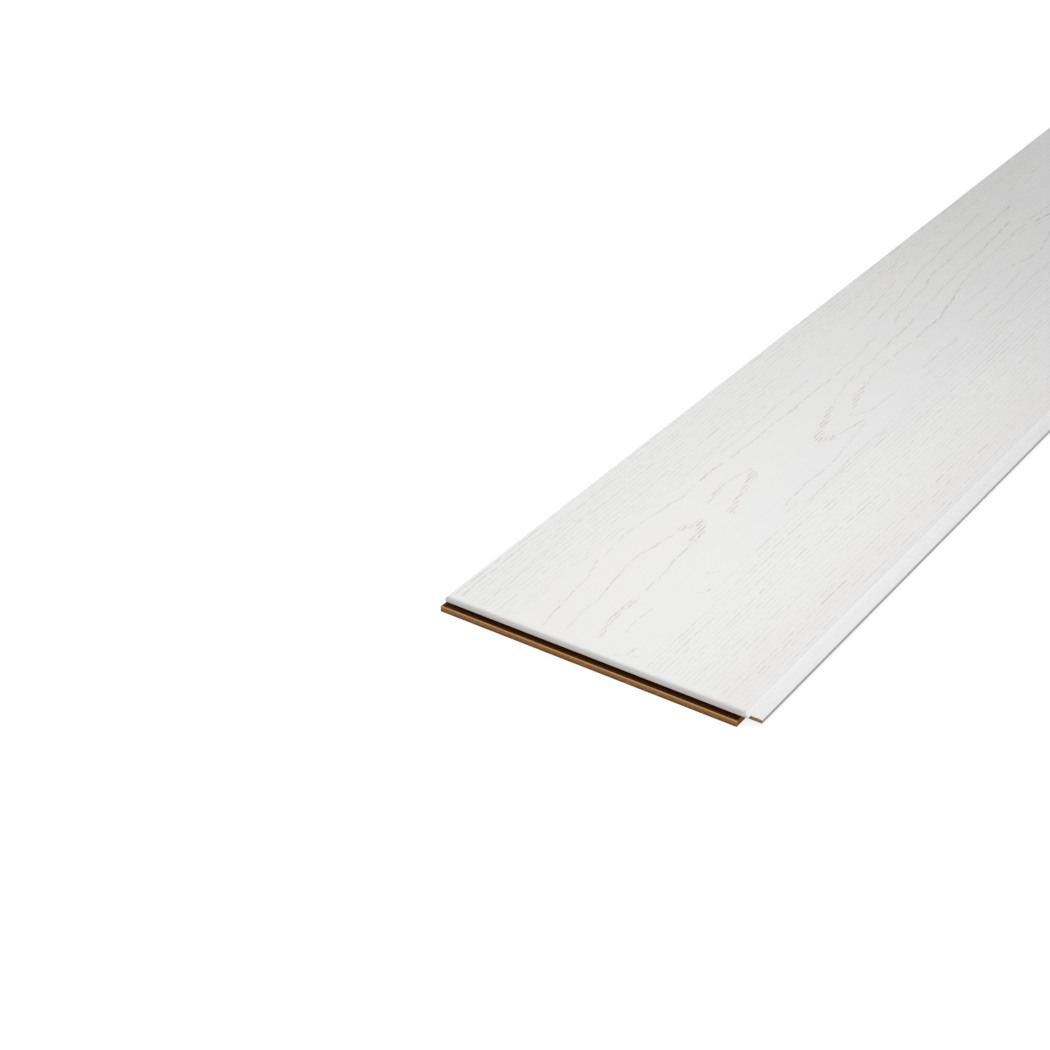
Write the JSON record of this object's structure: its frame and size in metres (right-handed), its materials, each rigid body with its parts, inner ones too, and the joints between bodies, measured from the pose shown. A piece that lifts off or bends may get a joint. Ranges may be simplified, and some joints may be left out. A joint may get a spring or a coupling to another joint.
{
  "type": "tongue-and-groove wall panel",
  "caption": "Long thin wall panel with a white wood-grain face, grooved along one long and one short edge and tongued along the other two.",
  "frame": {"origin": "middle of the panel's outer box, on the plane of its back", "axes": "+Y along the panel, away from its grooved short end; +X across it, towards the tongue; +Z from the back to the face"},
  "size_m": [0.208, 1.29, 0.01],
  "materials": {
    "core_board": "raw fibreboard, milled edges",
    "decor_film": "satin white ash grain, lightly embossed pores"
  },
  "bodies": {
    "root": {"core_board": "core_board", "decor_film": "decor_film"}
  },
  "joints": []
}
